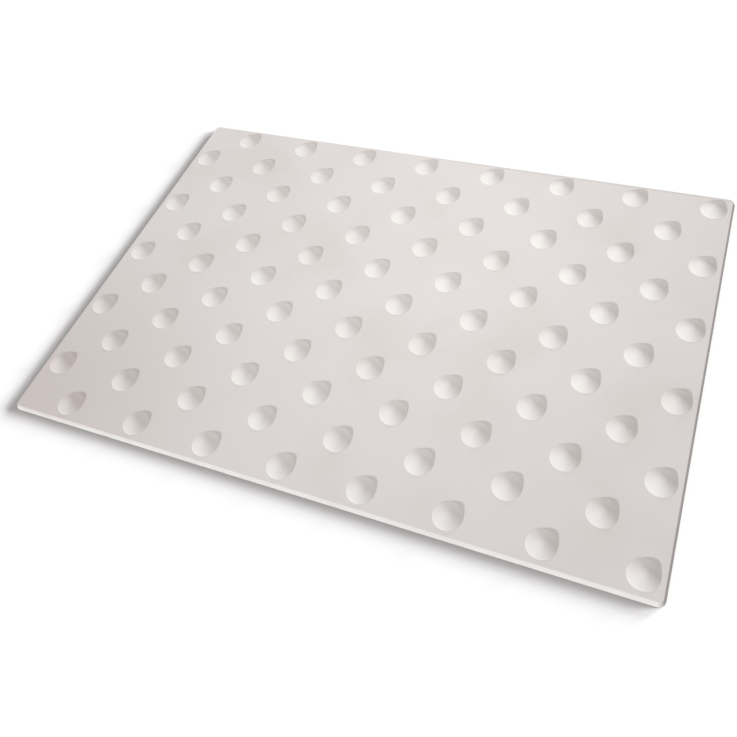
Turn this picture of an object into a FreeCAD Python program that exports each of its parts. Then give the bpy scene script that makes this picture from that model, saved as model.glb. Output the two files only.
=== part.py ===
# Tactile paving slab: one moulded piece, a thin plate whose top carries staggered rows of round domes.
# Millimetres. +Z is up, +X runs along the long edge, and the origin is the middle of the underside.
# The domes' pattern drives the plate. Its long edges lie half a row step past the outer rows, and its
# short edges half the stagger past the end domes, so the pattern runs on from one laid slab to the next.
# The plate's side is a low upright land, which butts against the next slab, and a bevel above it.
# A dome is widest at its foot, where its flank is steepest, and has a rounded crown.

import FreeCAD, Part
import Sketcher
import math
import os

# Driving sizes: name, value, meaning.
SIZES = [
    ("dome_pitch", 75.0, "centre to centre of the domes along a row"),
    ("row_pitch", 37.5, "centre to centre of neighbouring rows"),
    ("domes_per_row", 8, "domes in every row"),
    ("outer_rows", 6, "rows in step with the first and the last row"),
    ("plate_thickness", 5.0, "plate without its domes"),
    ("corner_radius", 6.0, "corners of the plate, seen from above"),
    ("edge_land", 1.0, "upright foot of the plate's side"),
    ("bevel_run", 2.0, "how far the bevel above the land leans inwards"),
    ("edge_round", 0.8, "rounding between the bevel and the plate's top"),
    ("dome_diameter", 25.0, "across the foot of a dome"),
    ("dome_height", 5.0, "top of a dome above the plate"),
    ("flank_radius", 40.0, "slightly bulging side of a dome, in section"),
]

# Sizes that follow from them: name, formula, meaning.
DERIVED = [
    ("stagger", "=dome_pitch / 2", "sideways shift from one row to the next"),
    ("inner_rows", "=outer_rows - 1", "shifted rows, one between each two outer ones"),
    ("slab_length", "=domes_per_row * dome_pitch", "plate along X"),
    ("slab_width", "=(outer_rows + inner_rows) * row_pitch", "plate along Y"),
    ("first_inner_x", "=-slab_length / 2 + stagger / 2", "first dome of an inner row"),
    ("first_outer_x", "=first_inner_x + stagger", "first dome of an outer row"),
    ("first_outer_y", "=-slab_width / 2 + row_pitch / 2", "first outer row"),
    ("first_inner_y", "=first_outer_y + row_pitch", "first inner row"),
    ("bevel_drop", "=plate_thickness - edge_land", "height of the bevel"),
    ("crown_radius", "=dome_diameter / 2", "rounded crown of a dome, in section"),
]


def make_sheet(doc):
    """Writes the driving sizes as plain numbers and the derived ones as formulas, each under its alias."""
    sheet = doc.addObject("Spreadsheet::Sheet", "sizes")
    for line, (alias, value, meaning) in enumerate(SIZES + DERIVED, start=1):
        sheet.set(f"A{line}", alias)
        sheet.set(f"B{line}", str(value))
        sheet.set(f"C{line}", meaning)
        sheet.setAlias(f"B{line}", alias)
        doc.recompute()
    return sheet


def origin_item(body, role):
    """One of the body's own origin planes or axes."""
    return next(item for item in body.Origin.OriginFeatures if item.Role == role)


def new_sketch(body, name, plane):
    """An empty sketch on one of the body's origin planes."""
    sketch = body.newObject("Sketcher::SketchObject", name)
    sketch.AttachmentSupport = [(origin_item(body, plane), "")]
    sketch.MapMode = "FlatFace"
    return sketch


def start(line):
    """Where a line or an arc starts, as the sketcher counts its points."""
    return line, 1


def end(line):
    """Where it ends."""
    return line, 2


def centre(arc):
    """The centre of an arc."""
    return arc, 3


def origin():
    """The sketch's own origin: the sketcher takes it for the start of the level axis, its line -1."""
    return start(-1)


def upright_axis():
    """The sketch's own upright axis."""
    return -2


def join(sketch, first, second):
    """The end of one line or arc meets the start of the next."""
    sketch.addConstraint(Sketcher.Constraint("Coincident", *end(first), *start(second)))


def set_size(sketch, kind, line, value, name, formula):
    """Dimensions a line from its start to its end, names the dimension and ties it to the sheet."""
    index = sketch.addConstraint(Sketcher.Constraint(kind, *start(line), *end(line), value))
    sketch.renameConstraint(index, name)
    sketch.setExpression(f"Constraints.{name}", formula)


def add_plate(doc, body, sheet):
    """The flat plate: a rectangle about the origin, padded up from the underside."""
    sketch = new_sketch(body, "plate_outline", "XY_Plane")
    half_x = sheet.slab_length / 2
    half_y = sheet.slab_width / 2
    corners = [
        FreeCAD.Vector(-half_x, -half_y, 0),
        FreeCAD.Vector(half_x, -half_y, 0),
        FreeCAD.Vector(half_x, half_y, 0),
        FreeCAD.Vector(-half_x, half_y, 0),
    ]
    lines = [Part.LineSegment(corners[i - 1], corners[i]) for i in (1, 2, 3, 0)]
    front, right, back, left = sketch.addGeometry(lines, False)
    join(sketch, front, right)
    join(sketch, right, back)
    join(sketch, back, left)
    join(sketch, left, front)
    for level in (front, back):
        sketch.addConstraint(Sketcher.Constraint("Horizontal", level))
    for upright in (right, left):
        sketch.addConstraint(Sketcher.Constraint("Vertical", upright))
    sketch.addConstraint(Sketcher.Constraint("Symmetric", *start(front), *end(right), *origin()))
    set_size(sketch, "DistanceX", front, 2 * half_x, "length", "sizes.slab_length")
    set_size(sketch, "DistanceY", right, 2 * half_y, "width", "sizes.slab_width")

    pad = body.newObject("PartDesign::Pad", "plate")
    pad.Profile = sketch
    pad.setExpression("Length", "sizes.plate_thickness")
    doc.recompute()
    return pad


def pick_edges(base, wanted):
    """The base feature and the names of those of its edges that wanted picks."""
    return base, [f"Edge{i}" for i, edge in enumerate(base.Shape.Edges, start=1) if wanted(edge)]


def add_fillet(doc, body, name, edges, radius_formula):
    """Rounds the picked edges."""
    fillet = body.newObject("PartDesign::Fillet", name)
    fillet.Base = edges
    fillet.setExpression("Radius", radius_formula)
    doc.recompute()
    return fillet


def add_bevel(doc, body, name, edges):
    """Cuts the picked edges back along the top by the bevel's run and down the side by its drop."""
    bevel = body.newObject("PartDesign::Chamfer", name)
    bevel.Base = edges
    bevel.ChamferType = "Two distances"
    bevel.setExpression("Size", "sizes.bevel_drop")
    bevel.setExpression("Size2", "sizes.bevel_run")
    doc.recompute()
    return bevel


def set_radius(sketch, arc, value, name, formula):
    """Dimensions an arc's radius, names the dimension and ties it to the sheet."""
    index = sketch.addConstraint(Sketcher.Constraint("Radius", arc, value))
    sketch.renameConstraint(index, name)
    sketch.setExpression(f"Constraints.{name}", formula)


def dome_outline(foot_radius, height, crown_radius, flank_radius):
    """Half of a dome's section, from the middle of its foot: the foot, the flank, the crown and the axis."""
    level = FreeCAD.Vector(0, 0, 1)
    middle = FreeCAD.Vector(0, 0, 0)
    foot = FreeCAD.Vector(foot_radius, 0, 0)
    top = FreeCAD.Vector(0, height, 0)
    crown_middle = FreeCAD.Vector(0, height - crown_radius, 0)
    # The flank passes through the foot and runs smoothly into the crown, so its centre is a flank's radius
    # from the foot, and from the crown's centre by as much as the two radii differ.
    about_foot = Part.Circle(foot, level, flank_radius)
    about_crown = Part.Circle(crown_middle, level, flank_radius - crown_radius)
    lower = min(about_foot.intersectCC(about_crown), key=lambda point: point.Y)
    flank_middle = FreeCAD.Vector(lower.X, lower.Y, 0)
    meeting = crown_middle + (crown_middle - flank_middle).normalize() * crown_radius
    flank = Part.Circle(flank_middle, level, flank_radius)
    crown = Part.Circle(crown_middle, level, crown_radius)
    return [
        Part.LineSegment(middle, foot),
        Part.ArcOfCircle(flank, flank.parameter(foot), flank.parameter(meeting)),
        Part.ArcOfCircle(crown, crown.parameter(meeting), crown.parameter(top)),
        Part.LineSegment(top, middle),
    ]


def add_dome(doc, body, sheet, name, x_formula, y_formula):
    """One dome, turned about its own upright axis. The sketch's origin is the middle of the dome's foot, on
    the top of the plate."""
    sketch = new_sketch(body, f"{name}_profile", "XZ_Plane")
    # On this plane the sketch's third axis points along -Y.
    sketch.setExpression("AttachmentOffset.Base.x", x_formula)
    sketch.setExpression("AttachmentOffset.Base.y", "sizes.plate_thickness")
    sketch.setExpression("AttachmentOffset.Base.z", f"-({y_formula})")

    foot_radius = sheet.dome_diameter / 2
    height = sheet.dome_height
    outline = dome_outline(foot_radius, height, sheet.crown_radius, sheet.flank_radius)
    base, flank, crown, axis = sketch.addGeometry(outline, False)
    join(sketch, base, flank)
    sketch.addConstraint(Sketcher.Constraint("Tangent", *end(flank), *start(crown)))
    join(sketch, crown, axis)
    join(sketch, axis, base)
    sketch.addConstraint(Sketcher.Constraint("Coincident", *start(base), *origin()))
    sketch.addConstraint(Sketcher.Constraint("Horizontal", base))
    sketch.addConstraint(Sketcher.Constraint("Vertical", axis))
    sketch.addConstraint(Sketcher.Constraint("PointOnObject", *centre(crown), upright_axis()))
    set_size(sketch, "DistanceX", base, foot_radius, "foot_radius", "sizes.dome_diameter / 2")
    set_size(sketch, "DistanceY", axis, -height, "rise", "-sizes.dome_height")
    set_radius(sketch, crown, sheet.crown_radius, "crown_radius", "sizes.crown_radius")
    set_radius(sketch, flank, sheet.flank_radius, "flank_radius", "sizes.flank_radius")

    dome = body.newObject("PartDesign::Revolution", name)
    dome.Profile = sketch
    dome.ReferenceAxis = (sketch, ["V_Axis"])
    dome.Angle = 360
    doc.recompute()
    return dome


def add_dome_field(doc, body, dome, name, rows_formula):
    """Repeats a dome along its row, and the row at every second row step."""
    pattern = body.newObject("PartDesign::LinearPattern", name)
    pattern.Originals = [dome]
    pattern.Direction = (origin_item(body, "X_Axis"), [""])
    pattern.Mode = "Spacing"
    pattern.setExpression("Offset", "sizes.dome_pitch")
    pattern.setExpression("Occurrences", "sizes.domes_per_row")
    pattern.Direction2 = (origin_item(body, "Y_Axis"), [""])
    pattern.Mode2 = "Spacing"
    pattern.Spacings2 = [-1.0]  # no spacing of its own anywhere: every step is Offset2
    pattern.setExpression("Offset2", "2 * sizes.row_pitch")
    pattern.setExpression("Occurrences2", rows_formula)
    body.Tip = pattern
    doc.recompute()
    return pattern


def make_slab(doc, sheet):
    """The whole slab as one body."""
    body = doc.addObject("PartDesign::Body", "tactile_slab")
    body.Label = "tactile_slab"
    plate = add_plate(doc, body, sheet)

    def is_on_top(point):
        return math.isclose(point.Z, sheet.plate_thickness)

    def is_upright(edge):
        return len([point for point in edge.Vertexes if is_on_top(point)]) == 1

    def is_top_edge(edge):
        return all(is_on_top(point) for point in edge.Vertexes)

    corners = add_fillet(doc, body, "corners", pick_edges(plate, is_upright), "sizes.corner_radius")
    bevel = add_bevel(doc, body, "bevel", pick_edges(corners, is_top_edge))
    add_fillet(doc, body, "top_edge", pick_edges(bevel, is_top_edge), "sizes.edge_round")
    outer = add_dome(doc, body, sheet, "outer_dome", "sizes.first_outer_x", "sizes.first_outer_y")
    add_dome_field(doc, body, outer, "outer_domes", "sizes.outer_rows")
    inner = add_dome(doc, body, sheet, "inner_dome", "sizes.first_inner_x", "sizes.first_inner_y")
    add_dome_field(doc, body, inner, "inner_domes", "sizes.inner_rows")
    return body


def check_document(doc, body):
    """Stops the build if any feature failed, or the slab isn't one valid solid."""
    for item in doc.Objects:
        if "Invalid" in item.State or "Error" in item.State:
            raise RuntimeError(f"{item.Name} failed: {item.State}")
    shape = body.Shape
    if shape.isNull() or not shape.isValid() or len(shape.Solids) != 1:
        raise RuntimeError("the slab isn't one valid solid")


def main():
    doc = FreeCAD.newDocument("tactile_paving")
    sheet = make_sheet(doc)
    body = make_slab(doc, sheet)
    check_document(doc, body)
    os.makedirs("parts", exist_ok=True)
    body.Shape.exportStep(f"parts/{body.Label}.step")
    print(f"{body.Label}: {sheet.slab_length:.1f} x {sheet.slab_width:.1f} mm")
    print(f"volume {body.Shape.Volume / 1000:.2f} cm3, {len(body.Shape.Faces)} faces")


main()
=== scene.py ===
# Tactile paving slab: a thin moulded plate with staggered rows of round domes, lying on a pale floor.
# Metres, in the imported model's own frame: +Z up, +X along the long edge, the underside on the floor.
import math

import bpy
import numpy as np
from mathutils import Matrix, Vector


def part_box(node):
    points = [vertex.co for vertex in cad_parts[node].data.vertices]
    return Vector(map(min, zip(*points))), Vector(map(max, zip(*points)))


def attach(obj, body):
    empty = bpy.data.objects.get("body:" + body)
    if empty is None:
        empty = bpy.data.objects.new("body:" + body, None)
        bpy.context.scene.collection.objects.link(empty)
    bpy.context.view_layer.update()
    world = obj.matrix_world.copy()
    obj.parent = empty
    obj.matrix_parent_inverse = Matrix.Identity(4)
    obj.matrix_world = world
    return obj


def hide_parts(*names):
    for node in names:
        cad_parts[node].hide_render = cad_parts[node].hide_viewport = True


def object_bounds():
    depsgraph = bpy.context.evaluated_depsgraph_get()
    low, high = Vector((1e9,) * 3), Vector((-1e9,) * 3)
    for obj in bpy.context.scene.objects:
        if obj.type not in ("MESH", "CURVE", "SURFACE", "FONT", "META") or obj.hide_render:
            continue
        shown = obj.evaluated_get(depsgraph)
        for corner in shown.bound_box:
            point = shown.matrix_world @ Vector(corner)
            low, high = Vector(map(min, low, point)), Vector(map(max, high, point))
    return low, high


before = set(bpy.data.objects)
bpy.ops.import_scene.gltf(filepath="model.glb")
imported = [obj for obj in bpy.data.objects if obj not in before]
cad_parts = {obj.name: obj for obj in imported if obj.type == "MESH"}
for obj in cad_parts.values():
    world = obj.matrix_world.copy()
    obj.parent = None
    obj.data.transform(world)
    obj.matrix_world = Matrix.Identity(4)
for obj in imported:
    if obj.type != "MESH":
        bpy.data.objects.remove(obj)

cadLow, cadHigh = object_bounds()
mm = 0.001
slack = 1e-6      # metres; coordinates closer than this count as the same
weldStep = 1e-7   # metres; points are told apart in whole steps of this size

slab = {
    "domesPerRow": 8,
    "rows": 11,                   # the first row from the front stands to the right, the next to the left
    "rightRow": 0.75,             # where a row's first dome stands, in steps from the left edge
    "leftRow": 0.25,
    "plateTop": 5 * mm,
    "domeRadius": 12.5 * mm,      # at the foot
    "crownRadius": 12.5 * mm,     # rounding of the crown, in section
    "flankRadius": 40 * mm,       # slightly bulging side, in section
    "footFillet": 0.8 * mm,       # hollow rounding round each dome's foot
    "cornerRadius": 6 * mm,
    "land": 1 * mm,               # upright foot of the side
    "bevelRun": 2 * mm,           # how far the bevel above the land leans inwards
    "topRound": 0.8 * mm,         # between the bevel and the top
    "landRound": 0.5 * mm,        # between the bevel and the land
    "undersideRound": 0.2 * mm,   # lower edge all round
    "step": 4.6875 * mm,          # spacing of the mesh along the borders of the domes' cells
    "cornerSteps": 4,
    "crownRings": 6,
    "flankRings": 6,
    "filletRings": 4,
    "roundSteps": 4,
    "undersideRings": 4,
}


def gridLine(half, flat, arc, step, cornerSteps):
    # Coordinates along one side of the plate's flat top: even steps between the two corner squares, counted
    # from the plate's own edge, and cornerSteps finer ones inside each square. An even step less than a
    # quarter away from a square is left out.
    even = np.arange(-half, half + step / 2, step)
    even = even[np.abs(even) < flat - arc - step / 4]
    fine = np.linspace(flat - arc, flat, cornerSteps + 1)
    return np.concatenate([-fine[::-1], even, fine])


def roundCorners(points, inner, radius):
    # A point in a corner square slides along the line to the square's inner corner until it is radius away
    # from it. Other points stay. Also gives each point's nearest place on the inner rectangle and the
    # direction away from it.
    nearest = np.clip(points, -inner, inner)
    away = points - nearest
    length = np.linalg.norm(away, axis=1, keepdims=True)
    direction = away / np.maximum(length, slack)
    inCorner = (np.abs(away) > slack).all(axis=1)
    rounded = np.where(inCorner[:, None], nearest + direction * radius, points)
    return rounded, nearest, direction


def boxLoop(xs, ys):
    # The points of a rectangle's border, counter-clockwise from its lower left corner, at the grid's values.
    lower = np.column_stack([xs[:-1], np.full(len(xs) - 1, ys[0])])
    right = np.column_stack([np.full(len(ys) - 1, xs[-1]), ys[:-1]])
    upper = np.column_stack([xs[:0:-1], np.full(len(xs) - 1, ys[-1])])
    left = np.column_stack([np.full(len(ys) - 1, xs[0]), ys[:0:-1]])
    return np.concatenate([lower, right, upper, left])


def domeProfile(p, height):
    # From the crown outwards: the arcs of the crown, the flank and the foot's fillet. Each point is its
    # distance from the dome's axis and its height above the plate, and its normal leans outwards by the angle
    # that the arc has turned. The flank's centre lies where two circles meet: one about the foot with the
    # flank's radius, the other about the crown's centre with the difference of the two radii.
    foot, crown, flank, fillet = p["domeRadius"], p["crownRadius"], p["flankRadius"], p["footFillet"]
    depth = crown - height                      # of the crown's centre below the plate's top
    span = math.hypot(foot, depth)
    along = (span**2 + (flank - crown)**2 - flank**2) / (2 * span)
    aside = math.sqrt((flank - crown)**2 - along**2)
    flankX = (foot * along + depth * aside) / span
    flankZ = (depth * along - foot * aside) / span - depth
    meeting = math.atan2(-flankX, -depth - flankZ)
    filletX = flankX + math.sqrt((flank + fillet)**2 - (fillet - flankZ)**2)
    touch = math.asin((filletX - flankX) / (flank + fillet))

    onCrown = np.linspace(0, meeting, p["crownRings"] + 1)
    onFlank = np.linspace(meeting, touch, p["flankRings"] + 1)[1:]
    onFillet = np.linspace(touch, 0, p["filletRings"] + 1)[1:]
    distance = np.concatenate([
        crown * np.sin(onCrown),
        flankX + flank * np.sin(onFlank),
        filletX - fillet * np.sin(onFillet),
    ])
    rise = np.concatenate([
        crown * np.cos(onCrown) - depth,
        flankZ + flank * np.cos(onFlank),
        fillet * (1 - np.cos(onFillet)),
    ])
    return distance, rise, np.concatenate([onCrown, onFlank, onFillet])


def ringFaces(rings, around):
    # Quads between neighbouring rings of a closed grid, wound to face up where the rings run outwards.
    ring, k = np.meshgrid(np.arange(rings - 1) * around, np.arange(around), indexing="ij")
    after = (k + 1) % around
    return np.stack([ring + k, ring + around + k, ring + around + after, ring + after]).reshape(4, -1).T


def lift(plan, height, lean, outward):
    # Rings in space: plan's places at each ring's height, their normals leaning outwards by its angle.
    tall = np.broadcast_to(height[:, None, None], plan.shape[:2] + (1,))
    upright = np.broadcast_to(np.cos(lean)[:, None, None], plan.shape[:2] + (1,))
    points = np.concatenate([plan, tall], axis=2)
    normals = np.concatenate([np.sin(lean)[:, None, None] * outward, upright], axis=2)
    return points, normals


def domeCell(centre, loop, plateTop, profile):
    # A dome and the plate around it, as rings. The dome's rings are the profile turned about its axis, at as
    # many even angles as the cell's border has points. The last rings move in a straight line to that border,
    # by way of one a third of the way out.
    distance, rise, lean = profile
    around = len(loop)
    offset = loop - centre
    start = np.unwrap(np.arctan2(offset[:, 1], offset[:, 0]))
    turn = start.mean() - (around - 1) * math.pi / around + np.arange(around) * 2 * math.pi / around
    spoke = np.column_stack([np.cos(turn), np.sin(turn)])
    rings = centre + distance[:, None, None] * spoke
    plan = np.concatenate([rings, (rings[-1:] * 2 + loop) / 3, loop[None]])
    return lift(plan, plateTop + np.append(rise, [0, 0]), np.append(lean, [0, 0]), spoke)


def roundedChain(corners, radii, steps):
    # A chain of straight runs, its inner corners rounded by arcs. Where the chain turns by t, an arc of
    # radius r starts r * tan(t / 2) before the corner, and its points are start + r * (sin a - sin a0,
    # cos a - cos a0) while the normal leans from a0 to a0 + t. Gives the arcs' points and leans.
    chain = np.array(corners)
    run = np.diff(chain, axis=0)
    run /= np.linalg.norm(run, axis=1, keepdims=True)
    lean = np.arctan2(-run[:, 1], run[:, 0])
    before, after = lean[:-1, None], lean[1:, None]
    radius = np.array(radii)[:, None]
    start = chain[1:-1] - run[:-1] * radius * np.tan((after - before) / 2)
    angle = before + (after - before) * np.linspace(0, 1, steps + 1)
    across = start[:, :1] + radius * (np.sin(angle) - np.sin(before))
    height = start[:, 1:] + radius * (np.cos(angle) - np.cos(before))
    return across.ravel(), height.ravel(), angle.ravel()


def edgeProfile(p):
    # The slab's side, outwards and down: the top, the bevel, the upright land and the underside, with the
    # corners between them rounded. Distances are from the inner rectangle that the corners turn about.
    foot = p["cornerRadius"]
    top = foot - p["bevelRun"]
    corners = [(0, p["plateTop"]), (top, p["plateTop"]), (foot, p["land"]), (foot, 0), (0, 0)]
    return roundedChain(corners, [p["topRound"], p["landRound"], p["undersideRound"]], p["roundSteps"])


def domeReach(points, p, half, pitch, rowStep):
    # Distance from the nearest dome's axis, for two sets of rows, each its own even grid: the remainder of
    # each coordinate by the grid's spacing, counted from halfway between two domes.
    spacing = np.array([pitch, rowStep * 2])
    firsts = np.array([[p["rightRow"] * pitch, rowStep / 2], [p["leftRow"] * pitch, rowStep * 3 / 2]]) - half
    away = (points[:, None, :2] - firsts + spacing / 2) % spacing - spacing / 2
    return np.linalg.norm(away, axis=2).min(axis=1)


def domeGrids(p, xs, ys, half, pitch, rowStep, inner, arc, height):
    # One cell for each dome. A row's cells part halfway between its domes, and its end cells run on to the
    # slab's edges, so they are the larger ones and take in the rounded corners.
    profile = domeProfile(p, height)
    grids = []
    for row in range(p["rows"]):
        centreY = -half[1] + rowStep * (row + 0.5)
        band = ys[np.abs(ys - centreY) < rowStep / 2 + slack]
        first = p["leftRow"] if row % 2 else p["rightRow"]
        centres = -half[0] + pitch * (np.arange(p["domesPerRow"]) + first)
        limits = np.concatenate([[-half[0]], centres[:-1] + pitch / 2, [half[0]]])
        for left, centreX, right in zip(limits[:-1], centres, limits[1:]):
            span = xs[(xs > left - slack) & (xs < right + slack)]
            loop = roundCorners(boxLoop(span, band), inner, arc)[0]
            grids.append(domeCell(np.array([centreX, centreY]), loop, p["plateTop"], profile))
    return grids


def undersideGrid(rim, outward, half, rings):
    # Flat rings that close in from the rim on the slab's middle line: rim * (1 - s) + line * s. Their
    # normals lean by half a turn, which is straight down.
    lineX = np.clip(rim[:, 0], half[1] - half[0], half[0] - half[1])
    line = np.column_stack([lineX, np.zeros(len(rim))])
    share = np.linspace(0, 1, rings)[:, None, None]
    level = np.zeros(rings)
    return lift(rim * (1 - share) + line * share, level, level + math.pi, outward)


def weld(points):
    # Points at the same place become one: gives the index of the first of each and every point's new number.
    key = np.round(points / weldStep).astype(np.int64)
    _, first, number = np.unique(key, axis=0, return_index=True, return_inverse=True)
    return first, number.reshape(-1)


def joinGrids(grids):
    # All grids as one mesh: the points one grid after another, each grid's faces numbered on from the one
    # before, and the borders where they meet welded.
    points, normals = (np.concatenate([grid[k].reshape(-1, 3) for grid in grids]) for k in (0, 1))
    shapes = [grid[0].shape[:2] for grid in grids]
    firsts = np.cumsum([0] + [rings * around for rings, around in shapes])
    faces = np.concatenate([ringFaces(*shape) + first for shape, first in zip(shapes, firsts)])
    kept, number = weld(points)
    return points[kept], normals[kept], number[faces]


def buildSlab(p):
    # The domes' cells tile the flat top, the side is its profile carried round the flat top's outline, and
    # the underside closes it. Length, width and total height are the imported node's own.
    low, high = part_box("tactile_slab")
    half = np.array([high.x, high.y])
    pitch = (high.x - low.x) / p["domesPerRow"]
    rowStep = (high.y - low.y) / p["rows"]
    inner = half - p["cornerRadius"]
    distance, height, lean = edgeProfile(p)
    arc = distance[0]                             # corner radius of the flat top
    xs = gridLine(half[0], inner[0] + arc, arc, p["step"], p["cornerSteps"])
    ys = gridLine(half[1], inner[1] + arc, arc, p["step"], p["cornerSteps"])
    grids = domeGrids(p, xs, ys, half, pitch, rowStep, inner, arc, high.z - p["plateTop"])
    print("domes:", len(grids))

    _, nearest, outward = roundCorners(boxLoop(xs, ys), inner, arc)
    side = nearest + distance[:, None, None] * outward
    grids.append(lift(side, height, lean, outward))
    grids.append(undersideGrid(side[-1], outward, half, p["undersideRings"]))
    points, normals, faces = joinGrids(grids)
    return points, normals, faces, domeReach(points, p, half, pitch, rowStep)


def meshObject(name, points, normals, faces, reach):
    # Quads that lost a corner at a crown or on the middle line become triangles, and those that lost two go.
    keep = faces != np.roll(faces, 1, axis=1)
    sides = keep.sum(axis=1)
    faces, keep, sides = faces[sides > 2], keep[sides > 2], sides[sides > 2]
    mesh = bpy.data.meshes.new(name)
    mesh.vertices.add(len(points))
    mesh.vertices.foreach_set("co", points.astype(np.float32).ravel())
    corners = faces[keep]
    mesh.loops.add(len(corners))
    mesh.loops.foreach_set("vertex_index", corners.astype(np.int32))
    mesh.polygons.add(len(faces))
    mesh.polygons.foreach_set("loop_start", np.concatenate([[0], np.cumsum(sides)[:-1]]).astype(np.int32))
    mesh.polygons.foreach_set("use_smooth", np.ones(len(faces), bool))
    mesh.update(calc_edges=True)
    mesh.validate()
    mesh.attributes.new("reach", "FLOAT", "POINT").data.foreach_set("value", reach.astype(np.float32))
    unit = normals / np.linalg.norm(normals, axis=1, keepdims=True)
    mesh.normals_split_custom_set_from_vertices(unit.astype(np.float32))
    piece = bpy.data.objects.new(name, mesh)
    bpy.context.scene.collection.objects.link(piece)
    return piece


slabPiece = meshObject("slab_body", *buildSlab(slab))
print("slab:", len(slabPiece.data.vertices), "points,", len(slabPiece.data.polygons), "faces")

paint = {
    "colour": (0.812, 0.78, 0.758),
    "roughness": (0.53, 0.65),            # from the smoothest to the roughest grain
    "specular": 0.27,
    "grainSize": 0.9 * mm,
    "grainDepth": 0.07 * mm,
    "waveSize": 45 * mm,                  # slow unevenness left by the mould
    "waveDepth": 0.25 * mm,
    "shadeAndStain": (0.722, 0.662, 0.642),       # greyer and pinker: painted shade near a corner, a tint in clouds elsewhere
    "shadeCorner": (-0.30, -0.20, 0),     # where the painted shade is darkest
    "shadeReach": 0.25,
    "cloudSize": 90 * mm,                 # faint patches of it all over
    "cloudNoise": (0.42, 0.75),           # where in the noise they start and are full
    "cloudShare": 0.38,
    "wearAndHighlight": (0.9, 0.88, 0.865),         # worn paler and smoother on crowns; a painted highlight along the outer edges
    "wearAndHighlightGloss": 0.08,                  # how much less rough
    "crownReach": 6 * mm,
    "crownShare": 0.17,
    # painted highlight along the outer edges: its width, then its share on the short and the long ones
    "highlightReach": 3.2 * mm,
    "endHighlightShare": 0.2,                      # of the short edges
    "longHighlightShare": 1,                       # of the long ones
    "patchSize": 15 * mm,                 # wear, the painted edge highlight and the painted shade at the feet come in patches
    "patchShare": (0.5, 1),
    "shadeAndDirt": (0.66, 0.63, 0.61),          # specks of dirt; painted shade in rings, on the side and along the far edge
    "footShadeAt": 12.7 * mm,                 # painted shade in a ring round each dome's foot
    "footShadeReach": 0.9 * mm,
    "shadeAndDirtShare": 0.33,
    "speckSize": 2.2 * mm,                # small dull spots all over
    "speckNoise": (0.6, 0.8),
    "speckShare": 0.2,
    "sideReach": 2.4 * mm,                # painted shade on the side at the right
    "sideShare": 0.75,
    "farReach": 4.6 * mm,                 # a thin line of painted shade along the far edge: where it starts and is full
    "farFull": 3 * mm,
    "farEase": 60 * mm,                   # it fades in over this much to either side of the middle
    "farShare": 0.8,
}
noiseRange = (0.3, 0.7)                   # a noise texture seldom goes past these


def link(tree, socket, value):
    # A socket takes either another node's output or a plain value.
    if isinstance(value, bpy.types.NodeSocket):
        tree.links.new(value, socket)
    elif value is not None:
        socket.default_value = value


def calculate(tree, operation, first, second=None):
    # One step of arithmetic between sockets or numbers.
    node = tree.nodes.new("ShaderNodeMath")
    node.operation = operation
    link(tree, node.inputs[0], first)
    link(tree, node.inputs[1], second)
    return node.outputs[0]


def ramp(tree, value, start, end, low=0, high=1):
    # low + (high - low) * t * t * (3 - 2 * t), where t goes from 0 to 1 as the value goes from start to end
    # and stays level outside them.
    node = tree.nodes.new("ShaderNodeMapRange")
    node.interpolation_type = "SMOOTHSTEP"
    for name, number in (("From Min", start), ("From Max", end), ("To Min", low), ("To Max", high)):
        node.inputs[name].default_value = number
    link(tree, node.inputs["Value"], value)
    return node.outputs["Result"]


def noise(tree, place, size, detail):
    # Cloudy noise whose largest lumps are about size across, each detail adding lumps half as large.
    node = tree.nodes.new("ShaderNodeTexNoise")
    node.inputs["Scale"].default_value = 1 / size
    node.inputs["Detail"].default_value = detail
    link(tree, node.inputs["Vector"], place)
    return node.outputs["Fac"]


def mixed(tree, share, first, second):
    # first * (1 - share) + second * share; the first may be a socket or a colour.
    node = tree.nodes.new("ShaderNodeMix")
    node.data_type = "RGBA"
    link(tree, node.inputs["Factor"], share)
    link(tree, node.inputs["A"], (*first, 1) if isinstance(first, tuple) else first)
    link(tree, node.inputs["B"], (*second, 1))
    return node.outputs["Result"]


def bumped(tree, height, depth, under=None):
    # Tilts the normal by the slope of height * depth, on top of another bump if there is one.
    node = tree.nodes.new("ShaderNodeBump")
    node.inputs["Distance"].default_value = depth
    link(tree, node.inputs["Height"], height)
    link(tree, node.inputs["Normal"], under)
    return node.outputs["Normal"]


def shadeAndStainShare(tree, p, place):
    # The stronger of two: painted shade, full at its corner and gone at its reach from it, and a tint in
    # clouds all over.
    fromCorner = tree.nodes.new("ShaderNodeVectorMath")
    fromCorner.operation = "DISTANCE"
    fromCorner.inputs[1].default_value = p["shadeCorner"]
    link(tree, fromCorner.inputs[0], place)
    corner = ramp(tree, fromCorner.outputs["Value"], p["shadeReach"], 0)
    clouds = ramp(tree, noise(tree, place, p["cloudSize"], detail=3), *p["cloudNoise"], 0, p["cloudShare"])
    return calculate(tree, "MAXIMUM", corner, clouds)


def wearAndHighlightShare(tree, p, along, reach, patches):
    # The stronger of two, in patches: wear on the domes' crowns, and a painted highlight in a band along the
    # outer edges, mostly the long ones.
    edges = [
        ramp(tree, calculate(tree, "ABSOLUTE", along[axis]), limit - p["highlightReach"], limit, 0, share)
        for axis, limit, share in (("X", cadHigh.x, p["endHighlightShare"]), ("Y", cadHigh.y, p["longHighlightShare"]))
    ]
    crown = ramp(tree, reach, p["crownReach"], 0, 0, p["crownShare"])
    wearAndHighlight = calculate(tree, "MAXIMUM", crown, calculate(tree, "MAXIMUM", *edges))
    return calculate(tree, "MULTIPLY", wearAndHighlight, patches)


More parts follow.
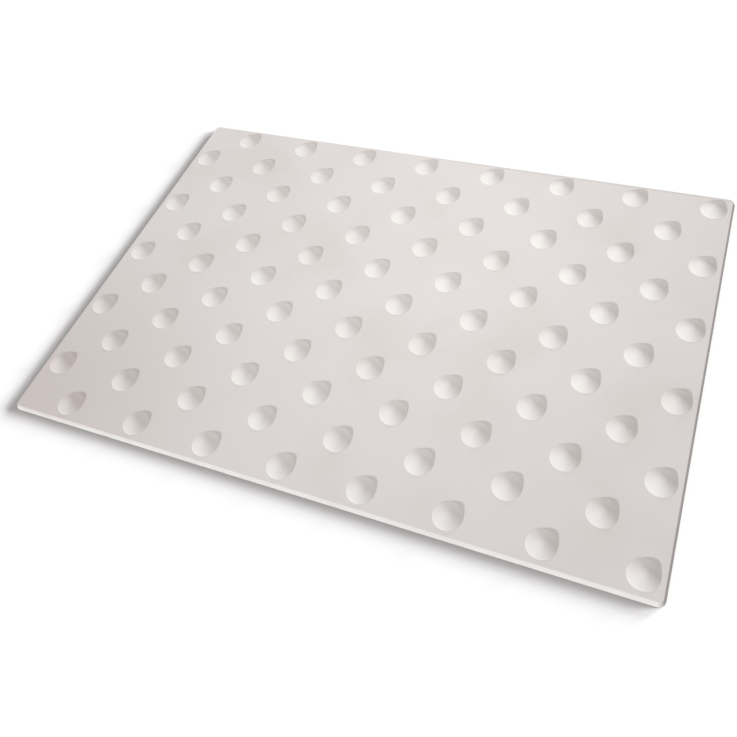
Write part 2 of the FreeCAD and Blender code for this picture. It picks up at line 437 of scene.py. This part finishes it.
def shadeAndDirtShare(tree, p, place, along, reach, patches):
    # The strongest of four: patchy rings of painted shade round the domes' feet, small specks of dirt,
    # painted shade on the side at the right, and a line of painted shade on the right half of the far edge.
    offFoot = calculate(tree, "ABSOLUTE", calculate(tree, "SUBTRACT", reach, p["footShadeAt"]))
    rings = ramp(tree, offFoot, p["footShadeReach"], 0, 0, p["shadeAndDirtShare"])
    shadeAndDirt = calculate(tree, "MULTIPLY", rings, patches)
    specks = ramp(tree, noise(tree, place, p["speckSize"], detail=2), *p["speckNoise"], 0, p["speckShare"])
    side = ramp(tree, along["X"], cadHigh.x - p["sideReach"], cadHigh.x, 0, p["sideShare"])
    line = ramp(tree, along["Y"], cadHigh.y - p["farReach"], cadHigh.y - p["farFull"], 0, p["farShare"])
    far = calculate(tree, "MULTIPLY", line, ramp(tree, along["X"], -p["farEase"], p["farEase"]))
    for other in (specks, side, far):
        shadeAndDirt = calculate(tree, "MAXIMUM", shadeAndDirt, other)
    return shadeAndDirt


def slabMaterial(p):
    # Moulded resin: painted shade towards a corner with a tinted stain, then wear and a painted edge
    # highlight, then dirt and painted shade over its colour, and grain over slow waves for its bump.
    material = bpy.data.materials.new("mouldedResin")
    material.use_nodes = True
    tree = material.node_tree
    shader = tree.nodes["Principled BSDF"]
    place = tree.nodes.new("ShaderNodeTexCoord").outputs["Object"]
    reachNode = tree.nodes.new("ShaderNodeAttribute")
    reachNode.attribute_name = "reach"            # distance from the nearest dome's axis
    reach = reachNode.outputs["Fac"]
    split = tree.nodes.new("ShaderNodeSeparateXYZ")
    link(tree, split.inputs[0], place)
    patches = ramp(tree, noise(tree, place, p["patchSize"], detail=2), *noiseRange, *p["patchShare"])

    wearAndHighlight = wearAndHighlightShare(tree, p, split.outputs, reach, patches)
    colour = mixed(tree, shadeAndStainShare(tree, p, place), p["colour"], p["shadeAndStain"])
    colour = mixed(tree, wearAndHighlight, colour, p["wearAndHighlight"])
    colour = mixed(tree, shadeAndDirtShare(tree, p, place, split.outputs, reach, patches), colour, p["shadeAndDirt"])
    link(tree, shader.inputs["Base Color"], colour)

    grain = noise(tree, place, p["grainSize"], detail=3)
    uneven = ramp(tree, grain, *noiseRange, *p["roughness"])
    smoother = calculate(tree, "MULTIPLY", wearAndHighlight, p["wearAndHighlightGloss"])
    link(tree, shader.inputs["Roughness"], calculate(tree, "SUBTRACT", uneven, smoother))
    waves = bumped(tree, noise(tree, place, p["waveSize"], detail=1), p["waveDepth"])
    link(tree, shader.inputs["Normal"], bumped(tree, grain, p["grainDepth"], waves))
    shader.inputs["Specular IOR Level"].default_value = p["specular"]
    return material


slabPiece.data.materials.append(slabMaterial(paint))
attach(slabPiece, "root")
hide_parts("tactile_slab")
print("material done")

studio = {
    "floorSize": 12,
    "floorColour": (0.66, 0.66, 0.66),
    "floorBounce": (0.02, 0.02, 0.02),     # what the floor throws back onto the slab
    "world": (0.53, 0.513, 0.5105),        # the light from all round
    "worldSeen": (1, 1, 1),                # and what the camera sees of it
    "keyTurn": -121,                       # bearing of the far lamp from +X, in degrees
    "keyHeight": 19.5,                     # its angle above the floor
    "keyAngle": 1.5,                       # how wide it looks
    "keyStrength": 2.1,
    "keyColour": (0.965, 1, 1),
    "backSpot": (-0.12, 0.91, 0.40),       # a small lamp behind the slab
    "backSize": 0.08,
    "backPower": 1.4,
    "overSpot": (0.07, 0.06, 0.34),        # a weak one over its middle
    "overSize": 0.1,
    "overPower": 0.165,
    "haloTurns": (20, 33, 56),             # three that shade the floor in front of the slab and on its left
    "haloHeight": 14,
    "haloAngle": 14,
    "haloStrength": 4.46,
    "haloColour": (1, 1, 1),
}

camera = {
    "lens": 36.23,
    "sensorWidth": 36,
    "nearest": 0.01,                      # what is nearer isn't drawn
    "spot": (0.24957, -0.38242, 0.56076),
    "turn": (35.3143, 7.9355, 20.394),    # degrees about X, Y and Z, in that order
    "shift": (-0.0483, -0.0394),
}


def seenDirectly(tree):
    # 1 where the camera looks straight, through a reflection or through glass; 0 for light thrown back.
    path = tree.nodes.new("ShaderNodeLightPath")
    total = path.outputs["Is Camera Ray"]
    for other in ("Is Glossy Ray", "Is Transmission Ray"):
        total = calculate(tree, "ADD", total, path.outputs[other])
        total.node.use_clamp = True
    return total


def buildStage(p):
    # A wide dull floor, which shows its own colour to the camera and throws back hardly any light.
    half = p["floorSize"] / 2
    mesh = bpy.data.meshes.new("floor")
    corners = [(-half, -half, 0), (half, -half, 0), (half, half, 0), (-half, half, 0)]
    mesh.from_pydata(corners, [], [(0, 1, 2, 3)])
    floor = bpy.data.objects.new("floor", mesh)
    bpy.context.scene.collection.objects.link(floor)
    material = bpy.data.materials.new("paleFloor")
    material.use_nodes = True
    tree = material.node_tree
    shader = tree.nodes["Principled BSDF"]
    shader.inputs["Roughness"].default_value = 1
    shader.inputs["Specular IOR Level"].default_value = 0
    colour = mixed(tree, seenDirectly(tree), p["floorBounce"], p["floorColour"])
    link(tree, shader.inputs["Base Color"], colour)
    mesh.materials.append(material)
    return floor


def placeLamp(light, spot, turn, lit):
    # Puts the lamp in the scene; it lights one object alone.
    lamp = bpy.data.objects.new(light.name, light)
    lamp.location = spot
    lamp.rotation_euler = turn
    bpy.context.scene.collection.objects.link(lamp)
    group = bpy.data.collections.new(light.name + "Lights")
    group.objects.link(lit)
    lamp.light_linking.receiver_collection = group


def farLamp(p, name, bearing, lit):
    # Its light comes from one direction all over.
    light = bpy.data.lights.new(name + "Lamp", "SUN")
    light.energy = p[name + "Strength"]
    light.color = p[name + "Colour"]
    light.angle = math.radians(p[name + "Angle"])
    turn = (math.radians(90 - p[name + "Height"]), 0, math.radians(bearing + 90))
    placeLamp(light, (0, 0, 0), turn, lit)


def nearLamp(p, name, lit):
    # A round one that faces the middle of the slab.
    light = bpy.data.lights.new(name + "Lamp", "AREA")
    light.shape = "DISK"
    light.size = p[name + "Size"]
    light.energy = p[name + "Power"]
    spot = Vector(p[name + "Spot"])
    placeLamp(light, spot, spot.to_track_quat("Z", "Y").to_euler(), lit)


def buildWorld(p):
    # Even light from all round, and plain white behind the floor's edge.
    world = bpy.data.worlds.new("paleRoom")
    world.use_nodes = True
    tree = world.node_tree
    background = tree.nodes["Background"]
    link(tree, background.inputs["Color"], mixed(tree, seenDirectly(tree), p["world"], p["worldSeen"]))
    background.inputs["Strength"].default_value = 1
    bpy.context.scene.world = world


def buildCamera(p):
    # Looks down on the slab from the front right; its place and lens were fitted to all the domes.
    lens = bpy.data.cameras.new("camera")
    lens.lens = p["lens"]
    lens.sensor_width = p["sensorWidth"]
    lens.clip_start = p["nearest"]
    lens.shift_x, lens.shift_y = p["shift"]
    viewer = bpy.data.objects.new("camera", lens)
    viewer.location = p["spot"]
    viewer.rotation_euler = [math.radians(angle) for angle in p["turn"]]
    bpy.context.scene.collection.objects.link(viewer)
    bpy.context.scene.camera = viewer


stageFloor = buildStage(studio)
farLamp(studio, "key", studio["keyTurn"], slabPiece)
nearLamp(studio, "back", slabPiece)
nearLamp(studio, "over", slabPiece)
for haloTurn in studio["haloTurns"]:
    farLamp(studio, "halo", haloTurn, stageFloor)
buildWorld(studio)
buildCamera(camera)
bpy.context.scene.view_settings.view_transform = "Standard"
print("stage done")
